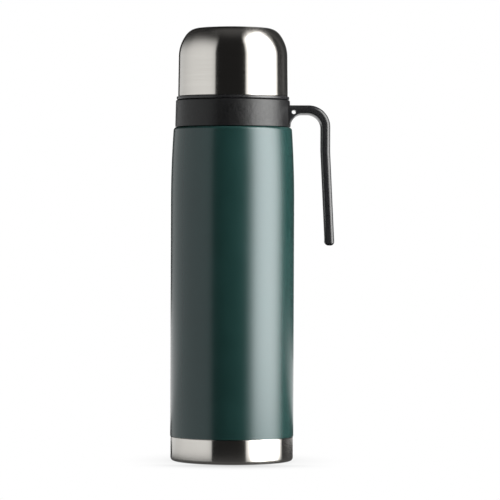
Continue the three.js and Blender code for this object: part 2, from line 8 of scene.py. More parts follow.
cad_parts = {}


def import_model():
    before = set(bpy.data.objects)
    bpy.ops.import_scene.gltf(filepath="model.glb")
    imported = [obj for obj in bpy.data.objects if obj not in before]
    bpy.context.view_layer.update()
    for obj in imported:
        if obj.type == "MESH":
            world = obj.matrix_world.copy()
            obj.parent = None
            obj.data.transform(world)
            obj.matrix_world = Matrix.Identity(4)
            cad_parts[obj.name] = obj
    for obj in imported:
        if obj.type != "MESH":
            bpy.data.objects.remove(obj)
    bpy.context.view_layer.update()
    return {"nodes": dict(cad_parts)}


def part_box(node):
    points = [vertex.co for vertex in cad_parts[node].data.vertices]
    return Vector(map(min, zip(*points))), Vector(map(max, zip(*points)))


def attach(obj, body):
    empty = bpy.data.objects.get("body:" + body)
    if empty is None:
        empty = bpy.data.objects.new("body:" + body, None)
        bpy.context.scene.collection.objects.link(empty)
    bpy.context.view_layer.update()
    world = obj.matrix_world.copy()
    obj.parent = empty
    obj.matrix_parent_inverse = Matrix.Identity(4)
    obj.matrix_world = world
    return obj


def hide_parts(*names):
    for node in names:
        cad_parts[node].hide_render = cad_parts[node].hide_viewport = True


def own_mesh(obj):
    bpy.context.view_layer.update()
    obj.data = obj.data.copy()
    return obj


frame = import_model()

MM = 0.001
ROUND = 192  # facets round a large piece
FINE = 96  # facets round a small one
PIN = 48  # facets round a pin or a bore
ON_AXIS = 1e-6  # a shorter length is none, in millimetres
SAME_PLACE = 1e-7  # vertices nearer than this are one, in metres
SHARP = math.radians(32)  # an edge that turns more stays sharp
SLIGHT_TURN = math.radians(14)  # a corner that turns less isn't eased
GAP = 0.3  # clearance between neighbouring pieces
PAST = 60  # a cutter's reach beyond everything


# ---- Sizes from the frame, in millimetres ---------------------------------------------------


def low(node):
    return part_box(node)[0].z / MM


def high(node):
    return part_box(node)[1].z / MM


def reach(node):
    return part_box(node)[1].y / MM


body_radius = reach("outer_shell")
shell_wall = 0.7
band_top = low("outer_shell")
shoulder_top = 232.5
lip_top = high("inner_vessel")
neck_outer = 27.3
neck_bore = 24.0
inner_wall = 0.6
deck = low("cup_liner") - GAP
deck_under = deck - 2.5
hub_radius = neck_outer + GAP
hub_low = shoulder_top + 7.8
snap_middle = (hub_low + deck_under) / 2
snap_height = 0.7
collar_foot = low("collar")
collar_radius = reach("collar")
collar_draft = 0.42
collar_wall = 2.6
stub_top = high("collar")
stub_root = 34.56
stub_crest = 35.46
stub_inner = 31.06
rim_height = low("cup_shell")
rim_radius = reach("cup_shell")
liner_bore = 35.76
grip_low = high("stopper_gasket") + GAP
grip_top = high("stopper_body")
grip_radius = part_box("stopper_body")[1].x / MM
plug_low = low("stopper_body")
plug_root = 22.0
plug_crest = 23.6
cup_lead = 6.0
cup_thread_foot = deck + 2.6
stopper_lead = 4.0


# ---- Making shapes --------------------------------------------------------------------------


def arc(centre_r, centre_z, radius, start, end, steps=10):
    """Points of an arc in the (radius, height) plane, with its angles in degrees."""
    angles = [math.radians(start + (end - start) * i / steps) for i in range(steps + 1)]
    return [(centre_r + radius * math.cos(a), centre_z + radius * math.sin(a)) for a in angles]


def softened(outline, default=0.2):
    """The outline with each marked or plain corner eased. A point is (r, z) or (r, z, easing)."""
    count = len(outline)
    steps, most_cut = 4, 0.45
    eased = []
    for i, point in enumerate(outline):
        here = Vector(point[:2])
        easing = point[2] if len(point) > 2 else default
        back = Vector(outline[i - 1][:2]) - here
        on = Vector(outline[(i + 1) % count][:2]) - here
        plain = easing <= 0 or min(back.length, on.length, here.x) < ON_AXIS
        turn = 0 if plain else math.pi - back.angle(on)
        if turn < SLIGHT_TURN:
            eased.append(tuple(here))
            continue
        cut = min(easing * math.tan(turn / 2), back.length * most_cut, on.length * most_cut)
        start, end = here + back.normalized() * cut, here + on.normalized() * cut
        for k in range(steps + 1):
            t = k / steps
            eased.append(tuple(start * (1 - t) ** 2 + here * 2 * t * (1 - t) + end * t * t))
    return eased


def stood(name, mesh):
    """An object made of a bmesh and linked to the scene."""
    data = bpy.data.meshes.new(name)
    mesh.to_mesh(data)
    mesh.free()
    made = bpy.data.objects.new(name, data)
    bpy.context.scene.collection.objects.link(made)
    return made


def finished(node, mesh, body, finish):
    """Turns a bmesh into a piece that rides on a body and stands for a CAD node."""
    bmesh.ops.remove_doubles(mesh, verts=mesh.verts, dist=SAME_PLACE)
    piece = stood(node + "_fine", mesh)
    for face in piece.data.polygons:
        face.use_smooth = True
    piece.data.set_sharp_from_angle(angle=SHARP)
    piece.data.materials.append(finish)
    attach(piece, body)
    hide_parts(node)
    return piece


def lathed(outline, facets=ROUND):
    """A bmesh of a closed (radius, height) outline turned about Z, up the outside, down the inside."""
    mesh = bmesh.new()
    rings = []
    for radius, height in outline:
        if radius < ON_AXIS:
            rings.append([mesh.verts.new((0, 0, height * MM))])
            continue
        ring = []
        for i in range(facets):
            a = 2 * math.pi * i / facets
            r = radius * MM
            ring.append(mesh.verts.new((r * math.cos(a), r * math.sin(a), height * MM)))
        rings.append(ring)
    closed = outline[0][0] > ON_AXIS
    pairs = list(zip(rings, rings[1:])) + ([(rings[-1], rings[0])] if closed else [])
    for one, two in pairs:
        for i in range(facets):
            j = (i + 1) % facets
            corners = [one[i % len(one)], one[j % len(one)], two[j % len(two)], two[i % len(two)]]
            face = list(dict.fromkeys(corners))
            if len(face) > 2:
                mesh.faces.new(face)
    return mesh


def tube(mesh, loops):
    """The bmesh with closed loops of its vertices joined one after another and both ends capped."""
    count = len(loops[0])
    for one, two in zip(loops, loops[1:]):
        for k in range(count):
            mesh.faces.new([one[k], two[k], two[(k + 1) % count], one[(k + 1) % count]])
    mesh.faces.new(loops[0])
    mesh.faces.new(loops[-1][::-1])
    bmesh.ops.recalc_face_normals(mesh, faces=mesh.faces)
    return mesh


def ridge(root, crest, width, lead, turns, start_angle, start_height):
    """A bmesh of a thread's ridge, wound up a right-hand helix and fading out at both ends."""
    mesh = bmesh.new()
    steps = round(turns * ROUND / 2)
    fade, end_rise = 0.06, 0.12
    half, flank = width / 2, width / 4
    sections = []
    for i in range(steps + 1):
        t = i / steps * turns
        a = start_angle + t * 2 * math.pi
        rise = min(1, end_rise + t / fade, end_rise + (turns - t) / fade)
        tip = root + (crest - root) * rise
        z = start_height + lead * t
        corners = [(root, -half), (tip, flank - half), (tip, half - flank), (root, half)]
        sections.append([
            mesh.verts.new((r * MM * math.cos(a), r * MM * math.sin(a), (z + h) * MM)) for r, h in corners
        ])
    return tube(mesh, sections)


def box_cutter(x0, x1, y0, y1, z0, z1, easing=0.0):
    """A bmesh of a block between two corners, its edges eased."""
    mesh = bmesh.new()
    bmesh.ops.create_cube(mesh, size=1)
    bmesh.ops.scale(mesh, vec=Vector((x1 - x0, y1 - y0, z1 - z0)) * MM, verts=mesh.verts)
    centre = Vector((x0 + x1, y0 + y1, z0 + z1)) / 2 * MM
    bmesh.ops.translate(mesh, vec=centre, verts=mesh.verts)
    if easing:
        edges = mesh.edges[:]
        bmesh.ops.bevel(mesh, geom=edges, offset=easing * MM, segments=3, profile=0.5, affect="EDGES")
    return mesh


def worked(mesh, joins=(), cuts=()):
    """The bmesh with others joined to it and cut from it, as a new bmesh."""
    piece = stood("tool", mesh)
    tools = [(stood("tool", one), "UNION") for one in joins]
    tools += [(stood("tool", one), "DIFFERENCE") for one in cuts]
    for tool, operation in tools:
        step = piece.modifiers.new("work", "BOOLEAN")
        step.object = tool
        step.operation = operation
        step.solver = "EXACT"
    shaped = piece.evaluated_get(bpy.context.evaluated_depsgraph_get()).to_mesh()
    result = bmesh.new()
    result.from_mesh(shaped)
    for thing in [piece, *(tool for tool, _ in tools)]:
        data = thing.data
        bpy.data.objects.remove(thing)
        bpy.data.meshes.remove(data)
    return result


# ---- Finishes -------------------------------------------------------------------------------


class Value:
    """A number or vector that varies over a surface; the usual operators add Math nodes."""

    def __init__(self, nodes, socket):
        self.nodes = nodes
        self.socket = socket

    def _math(self, operation, one, two):
        return self.nodes.node("ShaderNodeMath", {"operation": operation}, {0: one, 1: two})

    def __add__(self, other):
        return self._math("ADD", self, other)

    def __radd__(self, other):
        return self._math("ADD", other, self)

    def __sub__(self, other):
        return self._math("SUBTRACT", self, other)

    def __rsub__(self, other):
        return self._math("SUBTRACT", other, self)

    def __mul__(self, other):
        return self._math("MULTIPLY", self, other)

    def __rmul__(self, other):
        return self._math("MULTIPLY", other, self)


class Nodes:
    """The node tree of a material or of the world."""

    def __init__(self, owner):
        owner.use_nodes = True
        self.tree = owner.node_tree

    def node(self, kind, settings=None, sockets=None, outlet=0):
        made = self.tree.nodes.new(kind)
        for name, value in (settings or {}).items():
            setattr(made, name, value)
        for name, value in (sockets or {}).items():
            self.feed(made.inputs[name], value)
        return Value(self, made.outputs[outlet])

    def feed(self, socket, value):
        if isinstance(value, Value):
            self.tree.links.new(value.socket, socket)
        else:
            socket.default_value = value

    def spread(self, value, low_end, high_end, start=0.3, end=0.7):
        """value's range from start to end, stretched to low_end .. high_end."""
        sockets = {0: value, 1: start, 2: end, 3: low_end, 4: high_end}
        return self.node("ShaderNodeMapRange", {}, sockets)


class Finish(Nodes):
    """One material, with a Principled shader and what feeds it."""

    def __init__(self, name, **constants):
        self.material = bpy.data.materials.new(name)
        super().__init__(self.material)
        self.shader = self.tree.nodes["Principled BSDF"]
        for socket, value in constants.items():
            self.shader.inputs[socket.replace("_", " ")].default_value = value
        self.place = self.node("ShaderNodeTexCoord", outlet="Object")

    def set(self, name, value):
        self.feed(self.shader.inputs[name], value)

    def noise(self, scale, detail=2.0, roughness=0.5, where=None):
        sockets = {"Vector": where or self.place, "Scale": scale, "Detail": detail, "Roughness": roughness}
        return self.node("ShaderNodeTexNoise", {"noise_dimensions": "3D"}, sockets)

    def tint(self, value, dark, light):
        """Lets the base colour wander from dark to light with value."""
        sockets = {0: self.spread(value, 0, 1), 6: (*dark, 1), 7: (*light, 1)}
        self.set("Base Color", self.node("ShaderNodeMix", {"data_type": "RGBA"}, sockets, outlet=2))

    def bump(self, height, strength, distance):
        sockets = {"Height": height, "Strength": strength, "Distance": distance}
        self.set("Normal", self.node("ShaderNodeBump", {}, sockets))

    def turned_lines(self, round_scale, along_scale):
        """Coordinates that change slowly round Z and quickly along a turned profile."""
        settings, sockets = {"operation": "MULTIPLY"}, {0: self.place, 1: (1, 1, 0)}
        flat = self.node("ShaderNodeVectorMath", settings, sockets)
        height = self.node("ShaderNodeSeparateXYZ", {}, {0: self.place}, outlet="Z")
        length = self.node("ShaderNodeVectorMath", {"operation": "LENGTH"}, {0: flat}, outlet="Value")
        unit = self.node("ShaderNodeVectorMath", {"operation": "NORMALIZE"}, {0: flat})
        along = (height - length) * along_scale
        lift = self.node("ShaderNodeCombineXYZ", {}, {"Z": along})
        sockets = {0: unit, 1: (round_scale,) * 3, 2: lift}
        return self.node("ShaderNodeVectorMath", {"operation": "MULTIPLY_ADD"}, sockets)


def shaded(tone, share):
    return tuple(min(share * c, 1) for c in tone)


def lacquer():
    """Dark green satin lacquer with a faint orange peel."""
    f = Finish("dark_green_lacquer", IOR=1.5, Specular_Tint=(0.93, 1.0, 1.04, 1.0))
    cloud = f.noise(scale=45, detail=3)
    peel = f.noise(scale=900)
    speck = f.noise(scale=5200, detail=1)
    f.tint(cloud, dark=(0.0082, 0.0290, 0.0265), light=(0.0096, 0.0330, 0.0302))
    f.set("Roughness", f.spread(cloud, 0.232, 0.25) + (speck - 0.5) * 0.03)
    f.bump(peel, strength=0.12, distance=0.00002)
    return f.material


def brushed_steel():
    """Steel brushed round the axis: fine lines, a few broader streaks and a faint handling haze."""
    f = Finish("brushed_steel", Anisotropic=1.0, Anisotropic_Rotation=0.25)
    tone, rough = (0.622, 0.594, 0.558), 0.175
    fine = f.noise(scale=1, roughness=0.7, where=f.turned_lines(1.6, 5200))
    broad = f.noise(scale=1, detail=3, roughness=0.6, where=f.turned_lines(0.9, 620))
    haze = f.noise(scale=28)
    lines = fine * 0.6 + broad * 0.4
    f.tint(lines, shaded(tone, 0.93), shaded(tone, 1.04))
    f.set("Metallic", 1.0)
    f.set("Roughness", f.spread(lines, rough - 0.02, rough + 0.03) + f.spread(haze, -0.015, 0.02))
    f.bump(lines, strength=0.05, distance=0.00001)
    return f.material


def drawn_steel():
    """The bottle's inside: drawn and electropolished steel, a little cloudy."""
    f = Finish("drawn_steel", Anisotropic=0.35, Anisotropic_Rotation=0.25)
    lines = f.noise(scale=1, detail=3, roughness=0.6, where=f.turned_lines(1.2, 1500))
    cloud = f.noise(scale=60, detail=3)
    f.tint(cloud, dark=(0.50, 0.495, 0.485), light=(0.58, 0.575, 0.565))
    f.set("Metallic", 1.0)
    f.set("Roughness", f.spread(lines, 0.24, 0.34))
    f.bump(lines, strength=0.15, distance=0.00002)
    return f.material


def grained_plastic(name, tone, grain, rough):
    """Moulded black plastic with a spark-eroded grain."""
    f = Finish(name, IOR=1.38)
    pits = f.noise(scale=950, roughness=0.6)
    coarse = f.noise(scale=430, roughness=0.6)
    cloud = f.noise(scale=70)
    surface = pits * 0.4 + coarse * 0.6
    f.tint(surface, shaded(tone, 0.8), shaded(tone, 1.35))
    f.set("Roughness", f.spread(surface, rough - 0.07, rough + 0.1) + f.spread(cloud, -0.02, 0.02))
    f.bump(surface, strength=0.9 * grain, distance=0.0002)
    return f.material


def satin_plastic(name, tone, rough):
    """Smooth moulded plastic with faint flow clouds and fine wear."""
    f = Finish(name, IOR=1.45)
    cloud = f.noise(scale=90, detail=3)
    fine = f.noise(scale=2600)
    f.tint(cloud, shaded(tone, 0.88), shaded(tone, 1.15))
    f.set("Roughness", f.spread(cloud, rough - 0.02, rough + 0.03) + f.spread(fine, -0.02, 0.03))
    f.bump(fine, strength=0.08, distance=0.00002)
    return f.material


def silicone():
    """Translucent grey silicone with a matt bloom."""
    f = Finish("grey_silicone", IOR=1.42, Subsurface_Weight=0.12, Subsurface_Scale=0.0015)
    fine = f.noise(scale=2200)
    f.tint(f.noise(scale=120), dark=(0.50, 0.505, 0.51), light=(0.60, 0.605, 0.61))
    f.set("Roughness", f.spread(fine, 0.45, 0.6))
    f.bump(fine, strength=0.15, distance=0.00003)
    return f.material


def pad_rubber():
    """Matt black rubber with a fine moulded texture."""
    f = Finish("matt_black_rubber", IOR=1.5)
    fine = f.noise(scale=1700, detail=3, roughness=0.65)
    f.tint(f.noise(scale=80), dark=(0.016, 0.016, 0.016), light=(0.028, 0.028, 0.027))
    f.set("Roughness", f.spread(fine, 0.72, 0.9))
    f.bump(fine, strength=0.4, distance=0.00008)
    return f.material


def plain_metal(name, dark, light, rough):
    """Foil, plating and wire: metal with a soft crumple."""
    f = Finish(name)
    cloud = f.noise(scale=140, detail=3)
    fine = f.noise(scale=1800)
    f.tint(cloud, dark, light)
    f.set("Metallic", 1.0)
    f.set("Roughness", f.spread(fine, rough - 0.05, rough + 0.08))
    f.bump(cloud, strength=0.25, distance=0.00015)
    return f.material


def solder_glass():
    """The dark grey glass that seals the vacuum."""
    f = Finish("solder_glass", IOR=1.6)
    cloud = f.noise(scale=900, detail=3)
    f.tint(cloud, dark=(0.10, 0.11, 0.115), light=(0.2, 0.21, 0.22))
    f.set("Roughness", f.spread(cloud, 0.08, 0.2))
    f.bump(cloud, strength=0.2, distance=0.00005)
    return f.material


LACQUER = lacquer()
STEEL = brushed_steel()
INNER_STEEL = drawn_steel()
GRAINED = grained_plastic("grained_black_plastic", (0.0058, 0.0058, 0.0062), 1.0, 0.37)
SATIN = satin_plastic("satin_black_plastic", (0.0115, 0.0115, 0.0125), 0.26)
STOPPER = satin_plastic("stopper_black_plastic", (0.010, 0.010, 0.0105), 0.36)
BUTTON = grained_plastic("button_grey_plastic", (0.085, 0.088, 0.092), 0.5, 0.42)
SILICONE = silicone()
RUBBER = pad_rubber()
COPPER = plain_metal("copper_foil", (0.62, 0.32, 0.2), (0.78, 0.46, 0.32), 0.3)
ZINC = plain_metal("zinc_plating", (0.5, 0.51, 0.53), (0.62, 0.63, 0.65), 0.35)
WIRE = plain_metal("spring_wire", (0.42, 0.42, 0.43), (0.56, 0.56, 0.57), 0.25)
GLASS = solder_glass()


# ---- Bottle ---------------------------------------------------------------------------------


def shell_outline(inset):
    """The outer shell's section, moved in by inset: a long sweep, the shoulder's edge and the neck."""
    length, sweep, edge = 50.0, 750.0, 2.5
    start = shoulder_top - edge - length
    lean = math.degrees(math.asin(length / sweep))
    side = arc(body_radius - sweep, start, sweep - inset, 0, lean, 24)
    edge_radius = body_radius - sweep + sweep * math.cos(math.radians(lean)) - edge
    corner = arc(edge_radius, shoulder_top - edge, edge - inset, 8, 90, 10)
    neck = neck_outer - inset
    neck_foot, flare, rise = shoulder_top + 2.5 - inset, 2.2, 3
    points = [
        (body_radius - inset, band_top), *side, *corner,
        (neck + flare, neck_foot, 0.8), (neck, neck_foot + rise, 1.2),
    ]
    if not inset:
        crest, crest_half, foot_half = neck + snap_height, 0.2, 0.8
        points += [
            (neck, snap_middle - foot_half), (crest, snap_middle - crest_half),
            (crest, snap_middle + crest_half), (neck, snap_middle + foot_half),
        ]
    return points + [(neck, high("outer_shell"))]


def outer_shell():
    outline = softened(shell_outline(0) + shell_outline(shell_wall)[::-1], 0.18)
    finished("outer_shell", lathed(outline), "vessel", LACQUER)


def base_cup():
    """The bare steel foot: a standing ring round a recess, its lip inside the outer shell."""
    outer, top = reach("base_cup"), high("base_cup")
    wall, corner, recess, depth, hole = 0.7, 2.5, 30.6, 3.6, 1.2
    shoulder = band_top - GAP
    lip = body_radius - shell_wall - GAP
    outside = [
        (hole, depth), (recess, depth), (recess, 0.0, 0.5),
        *arc(outer - corner, corner, corner, -90, 0, 14),
        (outer, shoulder, 0.3), (lip, shoulder), (lip, top),
    ]
    inside = [
        (lip - wall, top), (lip - wall, shoulder - wall), (outer - wall, shoulder - wall),
        *arc(outer - corner, corner, corner - wall, 0, -90, 10),
        (recess + wall, wall), (recess + wall, depth + wall), (hole, depth + wall),
    ]
    finished("base_cup", lathed(softened(outside + inside, 0.15)), "vessel", STEEL)


def base_pad():
    """A flush rubber pad with shallow rings moulded into its face."""
    outer, top = reach("base_pad"), high("base_pad")
    rings, first, pitch, width, slope, depth = 6, 6.0, 3.8, 1.3, 0.3, 0.45
    face = [(0, 0.0), (first - 1, 0.0)]
    for i in range(rings):
        r = first + i * pitch
        face += [(r, 0.0), (r + slope, depth), (r + width - slope, depth), (r + width, 0.0)]
    mesh = lathed(softened([*face, (outer, 0.0, 0.5), (outer, top, 0.3), (0, top)], 0.12))
    finished("base_pad", mesh, "vessel", RUBBER)


def inner_outline(inset):
    """The inner vessel's section, moved in by inset: a straight side, the shoulder and the mouth."""
    radius, bend, below_shoulder = reach("inner_vessel"), 14.5, 6
    height = shoulder_top - below_shoulder - bend
    neck = neck_bore + inner_wall - inset
    span = math.degrees(math.acos((neck - (radius - bend)) / (bend - inset)))
    lip_radius, lip_foot = 28.0, lip_top - 1.2
    mouth = [(neck, lip_foot), (lip_radius, lip_foot, 0.4), (lip_radius, lip_top, 0.55)]
    if inset:
        mouth = [(neck, lip_top, 0.55)]
    shoulder = arc(radius - bend, height, bend - inset, 0, span, 16)
    return [(radius - inset, low("inner_vessel")), *shoulder, *mouth]


def inner_vessel():
    outline = softened(inner_outline(0) + inner_outline(inner_wall)[::-1], 0.15)
    thread = ridge(
        neck_bore + 0.3, plug_root + 0.4, width=1.3, lead=stopper_lead, turns=1.54,
        start_angle=0, start_height=plug_low + 8.2,
    )
    mesh = worked(lathed(outline), joins=[thread])
    finished("inner_vessel", mesh, "vessel", INNER_STEEL)


def inner_bottom():
    """The inner vessel's bottom: a dish with a joggled lip that fits inside the wall."""
    outer, corner, joggle = reach("inner_bottom"), 5.0, 6
    floor_height, top = low("inner_bottom"), high("inner_bottom")
    seam, lip = top - joggle, outer - inner_wall - GAP
    mesh = lathed(softened([
        (0, floor_height), *arc(outer - corner, floor_height + corner, corner, -90, 0, 10),
        (outer, seam), (lip, seam), (lip, top), (lip - inner_wall, top),
        (lip - inner_wall, seam - inner_wall),
        *arc(outer - corner, floor_height + corner, corner - inner_wall, 0, -90, 10),
        (0, floor_height + inner_wall),
    ], 0.15))
    finished("inner_bottom", mesh, "vessel", INNER_STEEL)


# ---- Collar and handle ----------------------------------------------------------------------

collar_top_radius = collar_radius - collar_draft
arm_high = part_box("handle")[1].z / MM
arm_thickness = 6.7
arm_low = arm_high - arm_thickness
arm_middle = (arm_high + arm_low) / 2
handle_half = reach("handle")
tenon_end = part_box("handle")[0].x / MM
tenon_half, tenon_thickness = 8.0, 5.0
tenon_low = arm_middle - tenon_thickness / 2
tenon_high = arm_middle + tenon_thickness / 2
screw_spread = 4.5
collar_middle = collar_radius - collar_draft * 0.4
handle_tip = 2.6
palm_rounding = 1.0


def collar():
    """The collar: skirt, deck and threaded ring, the hub that snaps on the neck, and the tenon's lug."""
    skirt_inner, edge, spread_foot = collar_top_radius - collar_wall, 1, 0.35
    groove_open, groove_deep = 1.3, 0.8
    hub_outer = hub_radius + 2.5
    outline = softened([
        (collar_radius, collar_foot - spread_foot, 0.1),
        *arc(collar_top_radius - edge, deck - edge, edge, 0, 90, 8),
        (stub_root, deck, 0.4), (stub_root, stub_top, 0.6), (stub_inner, stub_top, 0.6),
        (stub_inner, deck, 0.4), (hub_radius, deck), (hub_radius, snap_middle + groove_open),
        (hub_radius + snap_height, snap_middle + groove_deep),
        (hub_radius + snap_height, snap_middle - groove_deep),
        (hub_radius, snap_middle - groove_open), (hub_radius, hub_low), (hub_outer, hub_low),
        (hub_outer, deck_under, 0.5), (skirt_inner, deck_under, 0.5),
        (collar_radius - collar_wall, collar_foot),
    ], 0.2)
    half, block_low, sunk = tenon_half + 4, tenon_low - 3.3, 0.5
    below = block_low - 9
    lug = worked(
        lathed([
            (skirt_inner + sunk, block_low), (skirt_inner + sunk, deck_under + sunk),
            (hub_outer - sunk, deck_under + sunk), (hub_outer - sunk, block_low),
        ], FINE),
        cuts=[
            box_cutter(-PAST, 0, -PAST, PAST, below, deck),
            box_cutter(-PAST, PAST, half, PAST, below, deck),
            box_cutter(-PAST, PAST, -PAST, -half, below, deck),
        ],
    )
    pocket = box_cutter(
        tenon_end - GAP, PAST, -tenon_half - GAP, tenon_half + GAP, tenon_low - GAP, tenon_high + GAP,
    )
    threads = [
        ridge(
            stub_root - 0.5, stub_crest, width=1.1, lead=cup_lead, turns=0.6,
            start_angle=i * math.pi, start_height=cup_thread_foot,
        )
        for i in range(2)
    ]
    screws = [screw_hole(y, block_low - 1, arm_middle) for y in (-screw_spread, screw_spread)]
    mesh = worked(lathed(outline), joins=[lug, *threads], cuts=[pocket, *screws])
    finished("collar", mesh, "vessel", GRAINED)


def screw_hole(y, bottom, top):
    """A bmesh of the hole that a handle screw fills."""
    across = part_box("handle_screw_front")
    x = (across[0].x + across[1].x) / 2 / MM
    radius, facets = 1.6, 24
    mesh = lathed([(0, bottom), (radius, bottom), (radius, top), (0, top)], facets)
    bmesh.ops.translate(mesh, vec=(x * MM, y * MM, 0), verts=mesh.verts)
    return mesh


def handle_outline():
    """The handle's side outline as (x, z, edge rounding), anticlockwise from the collar."""
    outer = collar_middle + 27.75
    inner = outer - arm_thickness
    bend, tip = 15.0, handle_tip
    inside = bend - arm_thickness * 0.82
    gusset = min(8.0, arm_low - collar_foot - GAP)
    kink, end = arm_high - 31.8, low("handle")
    lean = math.tan(math.radians(2.7)) * (kink - end)
    under, over = palm_rounding, 2.7
    back, root = collar_middle - 6, collar_middle + GAP

    def lined(points, rounding):
        return [(x, z, rounding) for x, z in points]

    def straight(x0, z0, x1, z1, rounding, steps=6):
        return [(x0 + (x1 - x0) * i / steps, z0 + (z1 - z0) * i / steps, rounding) for i in range(1, steps)]

    gusset_x, gusset_z = root + gusset, arm_low - gusset
    points = [(back, gusset_z, 0.0), (root, gusset_z, 0.0)]
    points += lined(arc(gusset_x, gusset_z, gusset, 180, 90, 16)[1:], under)
    points += lined(arc(inner - inside, arm_low - inside, inside, 90, 0, 28), under)
    points += straight(inner, arm_low - inside, inner, kink, under)
    points += lined([(inner, kink)], under)
    points += straight(inner, kink, inner + lean, end + tip, under, 16)
    tip_arc = arc(inner + lean + tip, end + tip, tip, 180, 270)
    tip_arc += arc(outer + lean - tip, end + tip, tip, -90, 0)
    halves = [*range(11), *range(10, 21)]
    points += [(x, z, under + (over - under) * i / 20) for i, (x, z) in zip(halves, tip_arc)]
    points += straight(outer + lean, end + tip, outer, kink, over, 16)
    points += lined([(outer, kink)], over)
    points += straight(outer, kink, outer, arm_high - bend, over)
    points += lined(arc(outer - bend, arm_high - bend, bend, 0, 90, 32), over)
    points += straight(outer - bend, arm_high, back, arm_high, over, 4)
    points += [(back, arm_high, over)]
    return points


def palm_crown(x, z, rounding):
    """How far the side towards the flask curves back from its middle to its long edges."""
    crown, end_fade, collar_fade = 1.3, 12, 8
    if rounding == 0 or rounding > palm_rounding:
        return 0.0
    from_end = (z - low("handle") - handle_tip) / end_fade
    from_collar = (x - collar_middle) / collar_fade
    return crown * min(1, max(0, from_end)) * min(1, max(0, from_collar))


def handle():
    """The open handle: a bent bar, crowned on the palm side and well rounded on the outside."""
    outline = handle_outline()
    flat = [Vector((x, z)) for x, z, _ in outline]
    crowns = [palm_crown(*point) for point in outline]
    inward = []
    for i, here in enumerate(flat):
        back = (here - flat[i - 1]).normalized()
        on = (flat[(i + 1) % len(flat)] - here).normalized()
        along = (back + on).normalized()
        inward.append(Vector((-along.y, along.x)))
    mesh = bmesh.new()
    loops = []
    steps, middle_steps = 8, 5
    across = [(-1, k / steps) for k in range(steps + 1)]
    across += [(s / middle_steps, 1.0) for s in range(1 - middle_steps, middle_steps)]
    across += [(1, k / steps) for k in range(steps, -1, -1)]
    for side, turned_share in across:
        loop = []
        for (x, z, rounding), into, crown in zip(outline, inward, crowns):
            most = math.pi / 2 - math.atan(2 * crown / handle_half)
            a = most * turned_share
            shift = into * (crown * side * side + rounding * (math.sin(most) - math.sin(a)))
            y = side * (handle_half - rounding * (1 - math.cos(a)))
            loop.append(mesh.verts.new(Vector((x + shift.x, y, z + shift.y)) * MM))
        loops.append(loop)
    bar = tube(mesh, loops)
    beyond = 18.2
    collar_space = lathed([
        (0, collar_foot - beyond), (collar_radius + GAP + collar_draft, collar_foot - beyond),
        (collar_top_radius + GAP - collar_draft, deck + beyond), (0, deck + beyond),
    ])
    radius, reach_out, hole_out, hole_drop = 1.5, 20, 2.4, 1.3
    cord_hole = lathed([(0, -reach_out), (radius, -reach_out), (radius, reach_out), (0, reach_out)], PIN)
    bmesh.ops.rotate(cord_hole, matrix=Matrix.Rotation(math.pi / 2, 3, "X"), verts=cord_hole.verts)
    hole_place = Vector((collar_middle + hole_out, 0, arm_middle - hole_drop)) * MM
    bmesh.ops.translate(cord_hole, vec=hole_place, verts=cord_hole.verts)
    tenon = box_cutter(
        tenon_end, collar_middle + 3, -tenon_half, tenon_half, tenon_low, tenon_high, easing=0.3,
    )
    holes = [screw_hole(y, arm_middle - 5, tenon_high - 1) for y in (-screw_spread, screw_spread)]
    mesh = worked(worked(bar, cuts=[collar_space]), joins=[tenon], cuts=[cord_hole, *holes])
    finished("handle", mesh, "vessel", SATIN)


# ---- Cup ------------------------------------------------------------------------------------


def cup_outline(inset):
    """The cup's section, moved in by inset: a side that turns into the dome and a shallow crown."""
    side, dome, corner, crown = rim_radius - 0.35, 25.5, 10.9, 298.0
    turn = 38.2
    start = rim_height + 27.4
    c, s = math.cos(math.radians(turn)), math.sin(math.radians(turn))
    r = side - dome + (dome - corner) * c
    z = start + (dome - corner) * s
    crown_turn = math.acos(r / (crown - corner))
    crown_z = z - (crown - corner) * math.sin(crown_turn)
    top = math.degrees(crown_turn)
    return [
        (rim_radius - inset, rim_height), *arc(side - dome, start, dome - inset, 0, turn, 24),
        *arc(r, z, corner - inset, turn, top, 24)[1:],
        *arc(0, crown_z, crown - inset, top, 90, 14)[1:-1], (0, crown_z + crown - inset),
    ]


def cup_shell():
    wall, facets = 0.5, 256
    outline = softened(cup_outline(0) + cup_outline(wall)[::-1], 0.12)
    finished("cup_shell", lathed(outline, facets), "cup", STEEL)


def cup_liner():
    """The cup's liner: the bead under the rim, the threaded bore and the seal's shoulder."""
    foot, top, outer = low("cup_liner"), high("cup_liner"), rim_radius - 1.15
    flange, flange_top = reach("cup_liner"), rim_height - GAP
    shoulder, shoulder_inner, slope = high("cup_seal") + GAP, stub_inner + 0.8, 1.2
    outline = softened([
        (liner_bore, foot, 0.3), (flange, foot, 0.7), (flange, flange_top, 0.6), (outer, flange_top),
        (outer, top), (liner_bore, top, 0.3), (shoulder_inner, shoulder + slope, 0.3),
        (shoulder_inner, shoulder, 0.2), (liner_bore, shoulder),
    ], 0.15)
    threads = [
        ridge(
            liner_bore + 0.5, stub_root + 0.3, width=1.1, lead=cup_lead, turns=0.6,
            start_angle=i * math.pi, start_height=cup_thread_foot - cup_lead / 4,
        )
        for i in range(2)
    ]
    mesh = worked(lathed(outline), joins=threads)
    finished("cup_liner", mesh, "cup", SATIN)


def ring_seal(node, body, inner):
    """A moulded ring with a rounded outer lip and a shallow groove in each face."""
    bottom, top, outer = low(node), high(node), reach(node)
    middle, half, deep = (inner + outer) / 2, 0.7, (top - bottom) * 0.18
    mesh = lathed(softened([
        (outer, bottom, 0.6), (outer, top, 0.6),
        (middle + half, top), (middle, top - deep), (middle - half, top),
        (inner, top, 0.3), (inner, bottom, 0.3),
        (middle - half, bottom), (middle, bottom + deep), (middle + half, bottom),
    ], 0.2))
    finished(node, mesh, body, SILICONE)


